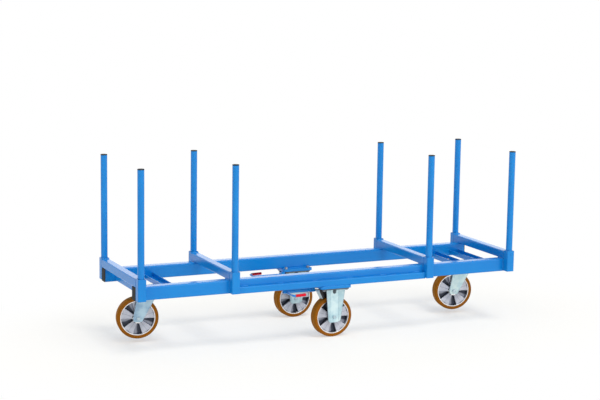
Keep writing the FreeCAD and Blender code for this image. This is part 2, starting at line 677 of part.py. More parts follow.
def make_fork(name, end):
    """Bent steel fork: a crown that turns on the kingpin and two raked legs that trail the wheel."""
    body = new_body(name)
    crown_top = -D.crown_drop
    crown_bottom = crown_top - D.crown_thickness
    foot = -AXLE_DROP - D.fork_foot_drop
    back = -D.crown_back - D.fork_foot - 5
    bend = new_sketch(body, END_VIEW, "bend", back)
    draw_polygon(bend, [
        (-LEG_OUTER, foot), (-LEG_OUTER, crown_top), (LEG_OUTER, crown_top), (LEG_OUTER, foot),
        (LEG_INNER, foot), (LEG_INNER, crown_bottom), (-LEG_INNER, crown_bottom), (-LEG_INNER, foot)])
    pad(body, bend, D.crown_front + 5 - back)
    round_edges(body, D.bend_radius, lambda edge: edge_lies_at(edge, z=crown_top)
                and (edge_lies_at(edge, y=LEG_OUTER) or edge_lies_at(edge, y=-LEG_OUTER)))
    round_edges(body, D.bend_radius - D.leg_thickness, lambda edge: edge_lies_at(edge, z=crown_bottom)
                and (edge_lies_at(edge, y=LEG_INNER) or edge_lies_at(edge, y=-LEG_INNER)))
    axle = (-D.swivel_trail, -AXLE_DROP)
    waste = new_sketch(body, FRONT_VIEW, "waste")
    draw_polygon(waste, [(back - 10, foot - 20), (D.crown_front + 20, foot - 20),
                         (D.crown_front + 20, crown_top + 10), (back - 10, crown_top + 10)])
    draw_strap(waste, -D.crown_back, D.crown_front, crown_top + 1, axle, D.fork_foot)
    pocket(body, waste, LEG_OUTER * 4, symmetric=True)
    pin_hole = new_sketch(body, PLAN_VIEW, "pin_hole", crown_top)
    draw_circle(pin_hole, 0, 0, D.kingpin_radius + D.bearing_play)
    pocket(body, pin_hole, D.crown_thickness)
    collar = new_sketch(body, PLAN_VIEW, "collar", crown_top)
    draw_circle(collar, 0, 0, D.race_radius - D.race_wall - D.race_play)
    draw_circle(collar, 0, 0, D.kingpin_radius + D.bearing_play)
    pad(body, collar, D.collar_rise)
    axle_hole = new_sketch(body, FRONT_VIEW, "axle_hole")
    draw_circle(axle_hole, axle[0], axle[1], D.axle_bolt_radius + D.bolt_play)
    pocket(body, axle_hole, LEG_OUTER * 4, symmetric=True)
    return place(body, SWIVEL_STATIONS[end], 0, SWIVEL_TOP, turned(D.swivel_turn))


# Foot brakes

def pedal_sketch(body, name, side):
    """A sketch square to the pedal rod where its bend ends. The rod rises gently towards +X."""
    sketch = new_sketch(body, END_VIEW, name)
    sketch.AttachmentOffset = Placement(Vector(), Rotation(Vector(1, 0, 0), -D.pedal_slope.number))
    bind(sketch, "AttachmentOffset.Base.x", D.pedal_reach * side)
    bind(sketch, "AttachmentOffset.Base.y", D.pedal_bend * sine(D.pedal_slope) - D.pedal_drop)
    bind(sketch, "AttachmentOffset.Base.z", D.pedal_bend * cosine(D.pedal_slope) + D.pedal_station)
    return sketch


def draw_pedal_path(body, side):
    """The middle line of the pedal rod: out from the shaft, round a bend and along to the pedal's end."""
    path = new_sketch(body, PLAN_VIEW, "pedal_path")
    path.AttachmentOffset = Placement(Vector(), Rotation(Vector(0, 1, 0), -D.pedal_slope.number))
    bind(path, "AttachmentOffset.Base.x", D.pedal_station)
    bind(path, "AttachmentOffset.Base.z", -D.pedal_drop)
    straight = (D.pedal_reach - D.pedal_bend) * side
    circle = Part.Circle(vector(D.pedal_bend, straight), Vector(0, 0, 1), D.pedal_bend.number)
    quarter = (math.pi / 2, math.pi) if side == FAR else (math.pi, math.pi * 1.5)
    arm = path.addGeometry(Part.LineSegment(vector(0, 0), vector(0, straight)))
    bend = path.addGeometry(Part.ArcOfCircle(circle, *quarter))
    rod = path.addGeometry(Part.LineSegment(vector(D.pedal_bend, D.pedal_reach * side),
                                            vector(D.pedal_length, D.pedal_reach * side)))
    first, last = (2, 1) if side == FAR else (1, 2)
    path.addConstraint(Sketcher.Constraint("Tangent", arm, 2, bend, first))
    path.addConstraint(Sketcher.Constraint("Tangent", bend, last, rod, 1))
    path.addConstraint(Sketcher.Constraint("Coincident", arm, 1, -1, 1))
    fix_point(path, bend, 3, D.pedal_bend, straight)
    fix(path, "Radius", bend, D.pedal_bend)
    fix_point(path, rod, 2, D.pedal_length, D.pedal_reach * side)
    return path


def make_brake_crank(name, side):
    """Tube shaft with a collar, and a round rod swept out from it and bent along into the pedal."""
    body = new_body(name)
    shaft = new_sketch(body, END_VIEW, "shaft", D.brake_shaft_start)
    draw_circle(shaft, 0, 0, D.brake_shaft_radius)
    draw_circle(shaft, 0, 0, D.brake_shaft_radius - D.brake_shaft_wall)
    pad(body, shaft, D.brake_shaft_end - D.brake_shaft_start)
    collar = new_sketch(body, END_VIEW, "collar", D.collar_start)
    draw_circle(collar, 0, 0, D.collar_radius)
    draw_circle(collar, 0, 0, D.brake_shaft_radius - D.brake_shaft_wall)
    pad(body, collar, D.collar_width)
    section = new_sketch(body, FRONT_VIEW, "rod_section")
    draw_circle(section, D.pedal_station, -D.pedal_drop, D.pedal_radius)
    path = draw_pedal_path(body, side)
    rod = body.newObject("PartDesign::AdditivePipe", "pedal_rod")
    rod.Profile = section
    rod.Spine = (path, ["Edge1", "Edge2", "Edge3"])
    return place(body, 0, D.brake_shaft_offset * side, D.brake_shaft_height)


def make_pedal_sleeve(name, side):
    """Plastic sleeve pushed over the pedal rod, closed and rounded at its end."""
    body = new_body(name)
    tube = pedal_sketch(body, "tube", side)
    draw_circle(tube, 0, 0, D.sleeve_radius)
    pad(body, tube, D.pedal_length - D.pedal_bend + D.sleeve_end)
    DOCUMENT.recompute()
    far_x = body.Shape.BoundBox.XMax
    round_edges(body, D.sleeve_round,
                lambda edge: edge.BoundBox.XMax > far_x - 0.01 and edge.BoundBox.XMin > far_x - 6)
    bore = pedal_sketch(body, "bore", side)
    draw_circle(bore, 0, 0, D.pedal_radius + 0.1)
    pocket(body, bore, D.pedal_length - D.pedal_bend + 0.5, reverse=True)
    return place(body, 0, D.brake_shaft_offset * side, D.brake_shaft_height)


def make_brake_shoe(name, side):
    """Strut down on to the tread, hollowed to fit it, on a link that closes the end of the shaft."""
    body = new_body(name)
    hub_drop = D.brake_shaft_height - D.wheel_radius
    strut = new_sketch(body, FRONT_VIEW, "strut")
    draw_polygon(strut, [
        (D.shoe_back, D.shoe_rise), (D.shoe_front, D.shoe_rise), (D.shoe_toe, D.wheel_radius * 0.9 - hub_drop),
        (D.shoe_heel, D.wheel_radius * 0.75 - hub_drop), (D.shoe_back, -D.link_depth)])
    pad(body, strut, D.shoe_width, symmetric=True)
    link = new_sketch(body, END_VIEW, "link", D.link_start)
    inner = -(D.shoe_centre + D.link_depth) * side
    draw_polygon(link, [(inner, -D.link_depth), (0, -D.link_depth), (0, D.shoe_rise), (inner, D.shoe_rise)])
    pad(body, link, D.link_width)
    hollow = new_sketch(body, FRONT_VIEW, "hollow")
    draw_circle(hollow, D.castor_shift, -hub_drop, D.wheel_radius + D.shoe_gap)
    pocket(body, hollow, D.shoe_width + 2, symmetric=True)
    raised = Rotation(Vector(1, 0, 0), side * D.brake_stroke.number)
    return place(body, 0, (D.brake_shaft_offset + D.shoe_centre * cosine(D.brake_stroke)) * side,
                 D.brake_shaft_height + D.shoe_centre * sine(D.brake_stroke), raised)


def make_brake_block(side):
    """Block under the castor pad that the brake shaft turns in."""
    block = new_body("brake_block")
    outline = new_sketch(block, END_VIEW, "outline")
    drop = D.castor_height - D.brake_shaft_height
    draw_strap(outline, -D.block_top / 2, D.block_top / 2, 0, (0, -drop), D.block_radius)
    draw_circle(outline, 0, -drop, D.brake_shaft_radius + D.brake_play)
    pad(block, outline, D.block_width, symmetric=True)
    return place(block, D.block_station, D.brake_shaft_offset * side, D.castor_height)


# Assembly

def build_cart():
    """Make every sub-part and return the objects that become files, in order."""
    parts = []
    sides = (("near", NEAR), ("far", FAR))
    ends = (("left", LEFT), ("right", RIGHT))
    for word, side in sides:
        parts.append(make_rail(f"rail_{word}", side))
        parts.append(make_strip(f"side_strip_{word}", side))
    parts.append(group("rail_end_plugs", [make_end_plug(side, end) for _, side in sides for _, end in ends]))
    for number, station in enumerate(STATIONS, start=1):
        parts.append(make_bearer(f"cross_bearer_{number}", station))
    pockets = [make_pocket(side, station) for _, side in sides for station in STATIONS]
    parts.append(group("stake_pockets", pockets))
    parts.append(group("castor_channels", [make_channel(end, step) for _, end in ends for step in (-1, 1)]))
    parts.append(group("castor_pads", [make_pad(side) for _, side in sides]))
    for word, side in sides:
        for number, station in enumerate(STATIONS, start=1):
            parts.append(make_stake(f"stake_{word}_{number}", side, station))
            parts.append(make_stake_cap(f"stake_cap_{word}_{number}", side, station))
    straight = as_size(0)
    bolt_places = [(long_side, wide_side) for long_side in (-1, 1) for wide_side in (-1, 1)]
    bolts = []
    for word, side in sides:
        y = D.fixed_offset * side
        hub = (D.castor_shift, y, D.wheel_radius)
        parts.append(make_fixed_bracket(f"fixed_bracket_{word}", side))
        parts += make_wheel(word, hub, straight)
        parts.append(make_axle(f"fixed_axle_{word}", hub, straight, LEG_OUTER))
        for long_side, wide_side in bolt_places:
            bolts += make_castor_bolt(D.castor_shift + D.bolt_spacing_long / 2 * long_side,
                                      y + D.bolt_spacing_wide / 2 * wide_side,
                                      D.castor_height, D.pad_thickness, with_nut=wide_side != side)
    kingpins = []
    for word, end in ends:
        x = SWIVEL_STATIONS[end]
        turn = D.swivel_turn
        hub = (x - cosine(turn) * D.swivel_trail, -sine(turn) * D.swivel_trail, SWIVEL_TOP - AXLE_DROP)
        parts.append(make_swivel_plate(f"swivel_plate_{word}", end))
        parts.append(make_fork(f"swivel_fork_{word}", end))
        parts += make_wheel(word, hub, turn)
        parts.append(make_axle(f"swivel_axle_{word}", hub, turn, LEG_OUTER))
        kingpins += make_kingpin(end)
        for long_side, wide_side in bolt_places:
            bolts += make_castor_bolt(x + D.bolt_spacing_long / 2 * long_side,
                                      D.bolt_spacing_wide / 2 * wide_side,
                                      SWIVEL_TOP, D.channel_wall, with_nut=True)
    parts.append(group("kingpins", kingpins))
    parts.append(group("castor_bolts", bolts))
    for word, side in sides:
        parts.append(make_brake_crank(f"brake_crank_{word}", side))
        parts.append(make_pedal_sleeve(f"pedal_sleeve_{word}", side))
        parts.append(make_brake_shoe(f"brake_shoe_{word}", side))
    parts.append(group("brake_blocks", [make_brake_block(side) for _, side in sides]))
    return parts


def check(parts):
    """Stop if any object failed to build or any sub-part has no valid shape."""
    DOCUMENT.recompute()
    for item in DOCUMENT.Objects:
        if "Invalid" in item.State or "Error" in item.State:
            raise RuntimeError(f"{item.Name} ({item.Label}) did not build: {item.State}")
    for part in parts:
        if part.Shape.isNull() or not part.Shape.isValid():
            raise RuntimeError(f"{part.Label} has no valid shape")


def write(parts):
    os.makedirs("parts", exist_ok=True)
    for part in parts:
        part.Shape.exportStep(f"parts/{part.Label}.step")


PARTS = build_cart()
check(PARTS)
write(PARTS)
print(f"{len(PARTS)} sub-parts, {sum(len(part.Shape.Solids) for part in PARTS)} solids")
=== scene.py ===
"""Looks for the long material cart: powder-coated frame with its weld beads, zinc-plated castors with cast
aluminium wheels and polyurethane tyres, plastic caps and pedal sleeves, in a plain white studio.
Lengths are in metres."""

import json
import math

import bmesh
import bpy
import numpy as np
from mathutils import Matrix, Vector


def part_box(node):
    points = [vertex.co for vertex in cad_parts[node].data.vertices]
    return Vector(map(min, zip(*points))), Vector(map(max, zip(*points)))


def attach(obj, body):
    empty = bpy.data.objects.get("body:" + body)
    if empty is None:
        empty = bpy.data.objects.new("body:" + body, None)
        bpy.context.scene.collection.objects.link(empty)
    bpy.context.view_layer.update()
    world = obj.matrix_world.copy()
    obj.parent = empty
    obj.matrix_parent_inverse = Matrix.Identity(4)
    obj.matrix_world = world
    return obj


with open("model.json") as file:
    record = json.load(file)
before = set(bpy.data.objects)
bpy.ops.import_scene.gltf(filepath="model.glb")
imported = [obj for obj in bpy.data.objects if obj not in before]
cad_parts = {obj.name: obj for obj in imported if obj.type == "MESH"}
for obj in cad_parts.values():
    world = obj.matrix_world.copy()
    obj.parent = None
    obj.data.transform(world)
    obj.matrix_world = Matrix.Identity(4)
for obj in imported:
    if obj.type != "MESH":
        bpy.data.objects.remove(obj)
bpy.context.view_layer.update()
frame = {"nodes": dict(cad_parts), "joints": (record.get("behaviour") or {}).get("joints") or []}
scene = bpy.context.scene
nodes = frame["nodes"]

SIDES = ("near", "far")
ENDS = ("left", "right")
NUMBERS = (1, 2, 3, 4)
UP = (0.0, 0.0, 1.0)
WHITE = (1.0, 1.0, 1.0, 1.0)


# Shader maths

class Wire:
    """A socket of a node tree. Arithmetic on it adds Math nodes to that tree."""

    def __init__(self, graph, socket):
        self.graph = graph
        self.socket = socket

    def math(self, operation, *others):
        """This wire through a Math node, with the other terms after it."""
        return self.graph.node("ShaderNodeMath", {"operation": operation}, dict(enumerate((self, *others))))

    def __add__(self, other):
        return self.math("ADD", other)

    def __sub__(self, other):
        return self.math("SUBTRACT", other)

    def __rsub__(self, other):
        return self.graph.node("ShaderNodeMath", {"operation": "SUBTRACT"}, {0: other, 1: self})

    def __mul__(self, other):
        return self.math("MULTIPLY", other)

    def __pow__(self, power):
        return self.math("POWER", power)

    def __abs__(self):
        return self.math("ABSOLUTE")

    __radd__ = __add__
    __rmul__ = __mul__


class Graph:
    """A node tree and the ways to add to it."""

    def __init__(self, tree):
        self.tree = tree

    def node(self, kind, settings=None, values=None, out=0):
        """Add a node: its settings first, then a value or a wire for each named or numbered socket."""
        made = self.tree.nodes.new(kind)
        for name, value in (settings or {}).items():
            setattr(made, name, value)
        for name, value in (values or {}).items():
            if isinstance(value, Wire):
                self.tree.links.new(value.socket, made.inputs[name])
            else:
                made.inputs[name].default_value = value
        return Wire(self, made.outputs[out])

    def join(self, wire, node_name, socket_name):
        """Link a wire to a socket of a node that the tree came with."""
        self.tree.links.new(wire.socket, self.tree.nodes[node_name].inputs[socket_name])

    def seen(self):
        """1 where the eye, a reflection or a view through glass meets the surface, 0 where light does."""
        rays = ("Is Camera Ray", "Is Glossy Ray", "Is Transmission Ray")
        eye, mirror, through = [self.node("ShaderNodeLightPath", out=ray) for ray in rays]
        return eye.math("MAXIMUM", mirror).math("MAXIMUM", through)

    def blend(self, mask, first, second):
        """The first colour where the mask is 0 and the second where it is 1."""
        return self.node("ShaderNodeMix", {"data_type": "RGBA"}, {0: mask, 6: first, 7: second}, out=2)

    def dot(self, first, second):
        """The dot product of two vectors."""
        product = {"operation": "DOT_PRODUCT"}
        return self.node("ShaderNodeVectorMath", product, {0: first, 1: second}, out="Value")


class Finish(Graph):
    """One material: a Principled surface and the nodes that vary it."""

    def __init__(self, name, **constants):
        self.material = bpy.data.materials.new(name)
        self.material.use_nodes = True
        super().__init__(self.material.node_tree)
        self.surface = self.tree.nodes["Principled BSDF"]
        for socket_name, value in constants.items():
            self.surface.inputs[socket_name.replace("_", " ")].default_value = value

    def feed(self, **wires):
        """Link wires to the surface's own sockets."""
        for socket_name, wire in wires.items():
            self.join(wire, "Principled BSDF", socket_name.replace("_", " "))

    def place(self):
        """The piece's own coordinates, in metres."""
        return self.node("ShaderNodeTexCoord", out="Object")

    def facing(self):
        """The way a face looks, in the piece's own directions."""
        return self.node("ShaderNodeTexCoord", out="Normal")

    def stretched(self, place, x, y, z):
        """A place with its coordinates multiplied, which shrinks a pattern along each axis by as much."""
        return self.node("ShaderNodeVectorMath", {"operation": "MULTIPLY"}, {0: place, 1: (x, y, z)})

    def along(self, place, axis):
        """A single coordinate of place along an axis."""
        return self.node("ShaderNodeSeparateXYZ", None, {0: place}, out="XYZ".index(axis))

    def noise(self, place, scale, detail=2.0, roughness=0.5):
        """Cloudy noise from 0 to 1, with about scale lumps to the metre."""
        values = {"Vector": place, "Scale": scale, "Detail": detail, "Roughness": roughness}
        return self.node("ShaderNodeTexNoise", None, values)

    def step(self, value, low, high):
        """0 up to low, 1 from high on, smooth between. Low may be the larger, and then it falls."""
        values = {"Value": value, "From Min": low, "From Max": high}
        return self.node("ShaderNodeMapRange", {"interpolation_type": "SMOOTHSTEP"}, values)

    def rounded(self, radius):
        """The surface's normal with its edges rounded off."""
        return self.node("ShaderNodeBevel", {"samples": 6}, {"Radius": radius})

    def lean(self, rounded):
        """How far the rounded normal leans from the face's own: 0 where they are one."""
        return 1 - self.dot(rounded, self.node("ShaderNodeNewGeometry", out="True Normal"))

    def edge(self, rounded):
        """1 on the sharp edges and 0 on the faces."""
        return self.step(self.lean(rounded), 0.02, 0.16)

    def slight_edge(self, rounded):
        """1 on the edges, bends as slight as a few degrees among them, and 0 on the faces."""
        return self.step(self.lean(rounded), 0.0006, 0.004)

    def bump(self, height, depth, strength, **normal):
        """The normal over a relief, with height in units of depth, on top of another normal where given."""
        values = {"Height": height, "Distance": depth, "Strength": strength, **normal}
        return self.node("ShaderNodeBump", None, values)


def tint(red, green, blue):
    """A display colour, 0 to 255, as the linear colour that the shader takes, by the sRGB curve."""
    display = np.array([red, green, blue]) / 255
    linear = np.where(display <= 0.04045, display / 12.92, ((display + 0.055) / 1.055) ** 2.4)
    return (*linear.tolist(), 1.0)


# Colours

BLUE = tint(2, 124, 205)
BLUE_CLOUD = tint(8, 132, 211)
BLUE_MOTTLE = tint(0, 98, 192)
# Paler blue painted on the edges as a highlight
BLUE_EDGE_HIGHLIGHT = tint(88, 168, 230)
BLUE_RUBBED = tint(140, 190, 230)
PRIMER = tint(150, 158, 164)

ZINC_STAIN = tint(150, 176, 188)
ZINC_EDGE = tint(240, 246, 246)
# Dark zinc painted along the folds as the shade of their reflection
ZINC_FOLD_SHADE = tint(86, 116, 140)
# Dark zinc for grime and painted shade inside the castor holders and on the fixed brackets' plates
GRIME_AND_SHADE = tint(34, 40, 48)
PALE_GRIME_AND_SHADE = tint(74, 84, 92)

CAST_SKIN = tint(162, 166, 178)
CAST_CLOUD = tint(194, 197, 206)
# Darker aluminium painted as shade in the groove along each spoke
CAST_LINE_SHADE = tint(112, 116, 128)
CAST_EDGE = tint(232, 234, 238)
CAST_TURNED = tint(238, 239, 240)
# Painted light and shade in the wheel's pockets: the lit side and the dark rest
POCKET_LIT_SIDE = tint(142, 146, 158)
POCKET_SHADE = tint(44, 48, 60)

AMBER = tint(134, 78, 0)
AMBER_CLOUD = tint(152, 91, 0)
AMBER_SHOULDER = tint(122, 71, 0)
AMBER_DUST = tint(156, 98, 4)

RACE_STEEL = tint(196, 199, 203)
SHIELD_STEEL = tint(96, 98, 102)

ENAMEL = tint(8, 9, 12)
ENAMEL_CLOUD = tint(20, 22, 26)
BARE_ZINC = tint(168, 196, 206)
BARE_ZINC_CLOUD = tint(200, 218, 222)
BARE_STEEL = tint(128, 132, 138)

# Dark and pale tone of the zinc on what holds each wheel, set apart by how lit each holder is: painted light
# and shade, the left fork's zinc darkest
HOLDER_TONES_PAINTED_SHADE = {
    "near": (tint(174, 206, 216), tint(204, 226, 230)),
    "far": (tint(164, 192, 200), tint(190, 212, 216)),
    "left": (tint(140, 171, 194), tint(174, 201, 214)),
    "right": (tint(178, 206, 210), tint(204, 224, 222)),
}


# Wheel sizes, from the axle outwards and from the wheel's middle plane outwards

SHIELD_INNER = 0.0140
SHIELD_OUTER = 0.0196
HUB_FACE_EDGE = 0.0330
RIM_FACE_EDGE = 0.0990
SHOULDER_START = 0.1080
SHOULDER_END = 0.1235
RUNNING_START = 0.1225
RUNNING_END = 0.1242
POCKET_FLOOR = 0.0070
POCKET_TOP = 0.0185
SPOKES = 5
# The middle of a spoke, as a share of the pitch from one to the next
SPOKE_MIDDLE = 0.75
SPOKE_HALF_ANGLE = math.pi / 10


# Finishes

def powder_coat(name, rub_level=None, rub_height=0.0):
    """Blue powder coat: faintly cloudy colour, orange peel, thin edges painted pale as a highlight, with a
    few chips to the primer.
    Above rub_level, over rub_height, it is rubbed dull by what slides there."""
    coat = Finish(name, IOR=1.38, Coat_Roughness=0.12, Coat_IOR=1.4)
    place = coat.place()
    cloud = coat.noise(place, scale=3.1, detail=3.0)
    mottle = coat.noise(place, scale=46.0, detail=4.0, roughness=0.6)
    flake = coat.noise(place, scale=74.0, detail=3.0, roughness=0.65)
    speck = coat.noise(place, scale=210.0)
    peel = coat.noise(place, scale=330.0, detail=1.0) + speck * 0.4
    rounded = coat.rounded(0.0022)
    edge = coat.edge(rounded)
    chip = edge * coat.step(flake, 0.66, 0.70)
    colour = coat.blend(coat.step(cloud, 0.3, 0.7), BLUE, BLUE_CLOUD)
    colour = coat.blend(coat.step(mottle, 0.52, 0.80) * 0.12, colour, BLUE_MOTTLE)
    # Painted highlight: the edges are mixed towards a paler blue
    colour = coat.blend(edge * 0.35, colour, BLUE_EDGE_HIGHLIGHT)
    colour = coat.blend(chip * 0.7, colour, PRIMER)
    rough = 0.20 + mottle * 0.08 + chip * 0.2
    if rub_level is not None:
        scratch = coat.noise(coat.stretched(place, 5.0, 240.0, 30.0), scale=1.0, detail=3.0, roughness=0.6)
        reached = coat.step(coat.along(place, "Z"), rub_level, rub_level + rub_height)
        worn = coat.step(scratch, 0.56, 0.72) * reached
        colour = coat.blend(worn * 0.25, colour, BLUE_RUBBED)
        rough = rough + worn * 0.14
    coat.feed(Base_Color=colour, Roughness=rough, Coat_Weight=0.12 - mottle * 0.1,
              Normal=coat.bump(peel, 0.00022, 0.30, Normal=rounded))
    return coat.material


def from_hub(finish, hub):
    """The vector from a wheel's centre to each point."""
    return finish.node("ShaderNodeVectorMath", {"operation": "SUBTRACT"}, {0: finish.place(), 1: hub})


def from_axle(finish, offset, axle):
    """The distance from the axle's line: the root of the offset's square less its square along the axle."""
    across = finish.dot(offset, axle)
    return (finish.dot(offset, offset) - across * across) ** 0.5


def spoke_pitch(finish, offset, axle):
    """The place in the pitch of the spokes, 0 to 1, by the turn round the axle from the level upwards."""
    ahead = finish.dot(offset, tuple(Vector(axle).cross(UP)))
    turn = finish.along(offset, "Z").math("ARCTAN2", ahead) * (0.5 / math.pi) + 1
    return (turn * SPOKES - 0.5).math("FRACT")


def zinc_plate(name, dark, pale, hub=None, axle=None, plate_level=None):
    """Bright zinc on pressed steel: cool and warm passivation clouds, rolled grain, paler burnished edges,
    dark lines painted along the folds as the shade of their reflection. A wheel's centre and axle say which
    faces of a fork look at the wheel: those are dull with grime and painted dark as the shade inside the
    fork, and so is the plate above plate_level."""
    zinc = Finish(name, Metallic=0.45, IOR=1.5)
    place = zinc.place()
    cloud = zinc.noise(place, scale=17.0, detail=4.0, roughness=0.6)
    stain = zinc.noise(place, scale=64.0, detail=5.0, roughness=0.7)
    grain = zinc.noise(zinc.stretched(place, 1.0, 1.0, 0.12), scale=520.0)
    rounded = zinc.rounded(0.0016)
    edge = zinc.edge(rounded)
    # Painted shade: a dark line along each slight fold, for the darker reflection that a bend shows
    fold_shade = zinc.slight_edge(zinc.rounded(0.0036)) * (1 - edge)
    colour = zinc.blend(zinc.step(cloud, 0.35, 0.65), dark, pale)
    colour = zinc.blend(zinc.step(stain, 0.58, 0.78) * 0.3, colour, ZINC_STAIN)
    colour = zinc.blend(edge * 0.6, colour, ZINC_EDGE)
    colour = zinc.blend(fold_shade * 0.55, colour, ZINC_FOLD_SHADE)
    rough = 0.34 + stain * 0.16 - edge * 0.08
    if hub is not None:
        # Grime and painted shade: faces that look at the wheel, and the plate above plate_level, are dulled
        # and painted dark for the shade inside the holder
        across = zinc.dot(from_hub(zinc, hub), axle)
        inside_grime_and_shade = zinc.step(zinc.dot(zinc.facing(), axle) * across, -0.004, -0.016)
        if plate_level is not None:
            blur = 0.0004
            plate = zinc.step(zinc.along(place, "Z"), plate_level - blur, plate_level + blur)
            inside_grime_and_shade = inside_grime_and_shade.math("MAXIMUM", plate)
        colour = zinc.blend(inside_grime_and_shade * 0.9, colour, zinc.blend(stain, GRIME_AND_SHADE, PALE_GRIME_AND_SHADE))
        rough = rough + inside_grime_and_shade * 0.2
    zinc.feed(Base_Color=colour, Roughness=rough, Normal=zinc.bump(grain, 0.00012, 0.3, Normal=rounded))
    return zinc.material


def cast_aluminium(name, hub, axle):
    """Sand-dull casting: pale pitted faces with a groove along each spoke painted dark as shade, painted
    shade in the pockets beside the web, pale on one side and dark beyond, and bright turned faces on the hub
    and rim that carry fine rings round the axle."""
    metal = Finish(name, Metallic=1.0)
    offset = from_hub(metal, hub)
    radius = from_axle(metal, offset, axle)
    height = abs(metal.dot(offset, axle))
    pitch = spoke_pitch(metal, offset, axle)
    skin = metal.noise(offset, scale=380.0, detail=4.0, roughness=0.6)
    cloud = metal.noise(offset, scale=28.0, detail=4.0, roughness=0.6)
    rounded = metal.rounded(0.0016)
    edge = metal.edge(rounded)
    blur = 0.0005
    turned_hub = metal.step(radius, HUB_FACE_EDGE + blur, HUB_FACE_EDGE - blur)
    turned_rim = metal.step(radius, RIM_FACE_EDGE - blur, RIM_FACE_EDGE + blur)
    turned = turned_hub + turned_rim
    ring = (radius * 9000.0).math("SINE")
    pocket = (1 - metal.step(height, POCKET_FLOOR, POCKET_TOP)) * (1 - turned)
    # Painted shade in each pocket: pale on the side the light reaches, dark beyond
    shade = metal.step(pitch + cloud * 0.10, 0.20, 0.32)
    # Painted shade: a dark line down the middle of each spoke, also sunk in the relief as a groove
    line = metal.step(abs(pitch - SPOKE_MIDDLE) * radius, 0.0012, 0.0006) * (1 - turned)
    colour = metal.blend(cloud, CAST_SKIN, CAST_CLOUD)
    colour = metal.blend(line * 0.6, colour, CAST_LINE_SHADE)
    colour = metal.blend(edge * 0.5, colour, CAST_EDGE)
    colour = metal.blend(pocket * 0.95, colour, metal.blend(shade, POCKET_LIT_SIDE, POCKET_SHADE))
    colour = metal.blend(turned * 0.9, colour, CAST_TURNED)
    relief = skin * (1 - turned) + ring * turned * 0.12 - line * 1.5
    metal.feed(Base_Color=colour, Roughness=0.42 + skin * 0.12 - turned * 0.14,
               Normal=metal.bump(relief, 0.0003, 0.45, Normal=rounded))
    return metal.material


def polyurethane(name, hub, axle):
    """Amber-brown tyre: warm and clear on the sides, dull and dusty where it runs, with fine flow marks."""
    tyre = Finish(name, IOR=1.22)
    offset = from_hub(tyre, hub)
    radius = from_axle(tyre, offset, axle)
    cloud = tyre.noise(offset, scale=21.0, detail=3.0, roughness=0.6)
    dust = tyre.noise(offset, scale=150.0, detail=4.0, roughness=0.7)
    shoulder = tyre.step(radius, SHOULDER_START, SHOULDER_END)
    running = tyre.step(radius, RUNNING_START, RUNNING_END)
    colour = tyre.blend(cloud, AMBER, AMBER_CLOUD)
    colour = tyre.blend(shoulder * 0.5, colour, AMBER_SHOULDER)
    colour = tyre.blend(running * (0.55 + 0.35 * tyre.step(dust, 0.45, 0.75)), colour, AMBER_DUST)
    tyre.feed(Base_Color=colour, Roughness=0.36 + running * 0.26 + dust * 0.10,
              Normal=tyre.bump(dust, 0.0002, 0.25))
    return tyre.material


def bearing_steel(name, hub, axle):
    """Ground races and dark pressed shields, told apart by their distance from the axle."""
    steel = Finish(name, Metallic=1.0)
    offset = from_hub(steel, hub)
    radius = from_axle(steel, offset, axle)
    blur = 0.0003
    past_inner = steel.step(radius, SHIELD_INNER, SHIELD_INNER + blur)
    shield = past_inner * steel.step(radius, SHIELD_OUTER, SHIELD_OUTER - blur)
    film = steel.noise(offset, scale=90.0, detail=3.0, roughness=0.6)
    ring = (radius * 12000.0).math("SINE")
    steel.feed(Base_Color=steel.blend(shield, RACE_STEEL, SHIELD_STEEL),
               Roughness=0.20 + film * 0.14 + shield * 0.18,
               Normal=steel.bump(ring, 0.00008, 0.3))
    return steel.material


def moulded_plastic(name, dark, pale, rough):
    """Moulded plastic: spark-eroded grain, slight flow marks, and polished edges half way from pale to
    light grey."""
    plastic = Finish(name, IOR=1.25)
    place = plastic.place()
    grain = plastic.noise(place, scale=900.0)
    flow = plastic.noise(plastic.stretched(place, 1.0, 1.0, 3.0), scale=24.0, detail=3.0, roughness=0.6)
    rounded = plastic.rounded(0.0010)
    edge = plastic.edge(rounded)
    light_grey = 0.6
    polished = (*[(share + light_grey) / 2 for share in pale[:3]], 1.0)
    colour = plastic.blend(edge * 0.25, plastic.blend(flow, dark, pale), polished)
    plastic.feed(Base_Color=colour, Roughness=rough + grain * 0.12 - edge * 0.08,
                 Normal=plastic.bump(grain, 0.00012, 0.35, Normal=rounded))
    return plastic.material


def black_paint():
    """Black enamel on the brake shoes, rubbed to steel at the edges. The strut's back is left bare zinc."""
    paint = Finish("black_enamel", Coat_Roughness=0.3)
    place = paint.place()
    cloud = paint.noise(place, scale=34.0, detail=4.0, roughness=0.6)
    patch = paint.noise(place, scale=90.0, detail=3.0, roughness=0.6)
    grain = paint.noise(place, scale=300.0)
    rounded = paint.rounded(0.0012)
    rubbed = paint.edge(rounded) * paint.step(patch, 0.45, 0.62) * 0.6
    back = paint.step(paint.along(paint.facing(), "X"), -0.6, -0.75)
    colour = paint.blend(cloud, ENAMEL, ENAMEL_CLOUD)
    colour = paint.blend(back * 0.9, colour, paint.blend(cloud, BARE_ZINC, BARE_ZINC_CLOUD))
    colour = paint.blend(rubbed, colour, BARE_STEEL)
    bare = rubbed.math("MAXIMUM", back * 0.45)
    paint.feed(Base_Color=colour, Roughness=0.36 + cloud * 0.16, Metallic=bare,
               Normal=paint.bump(grain, 0.0002, 0.3, Normal=rounded))
    return paint.material


# Mesh pieces

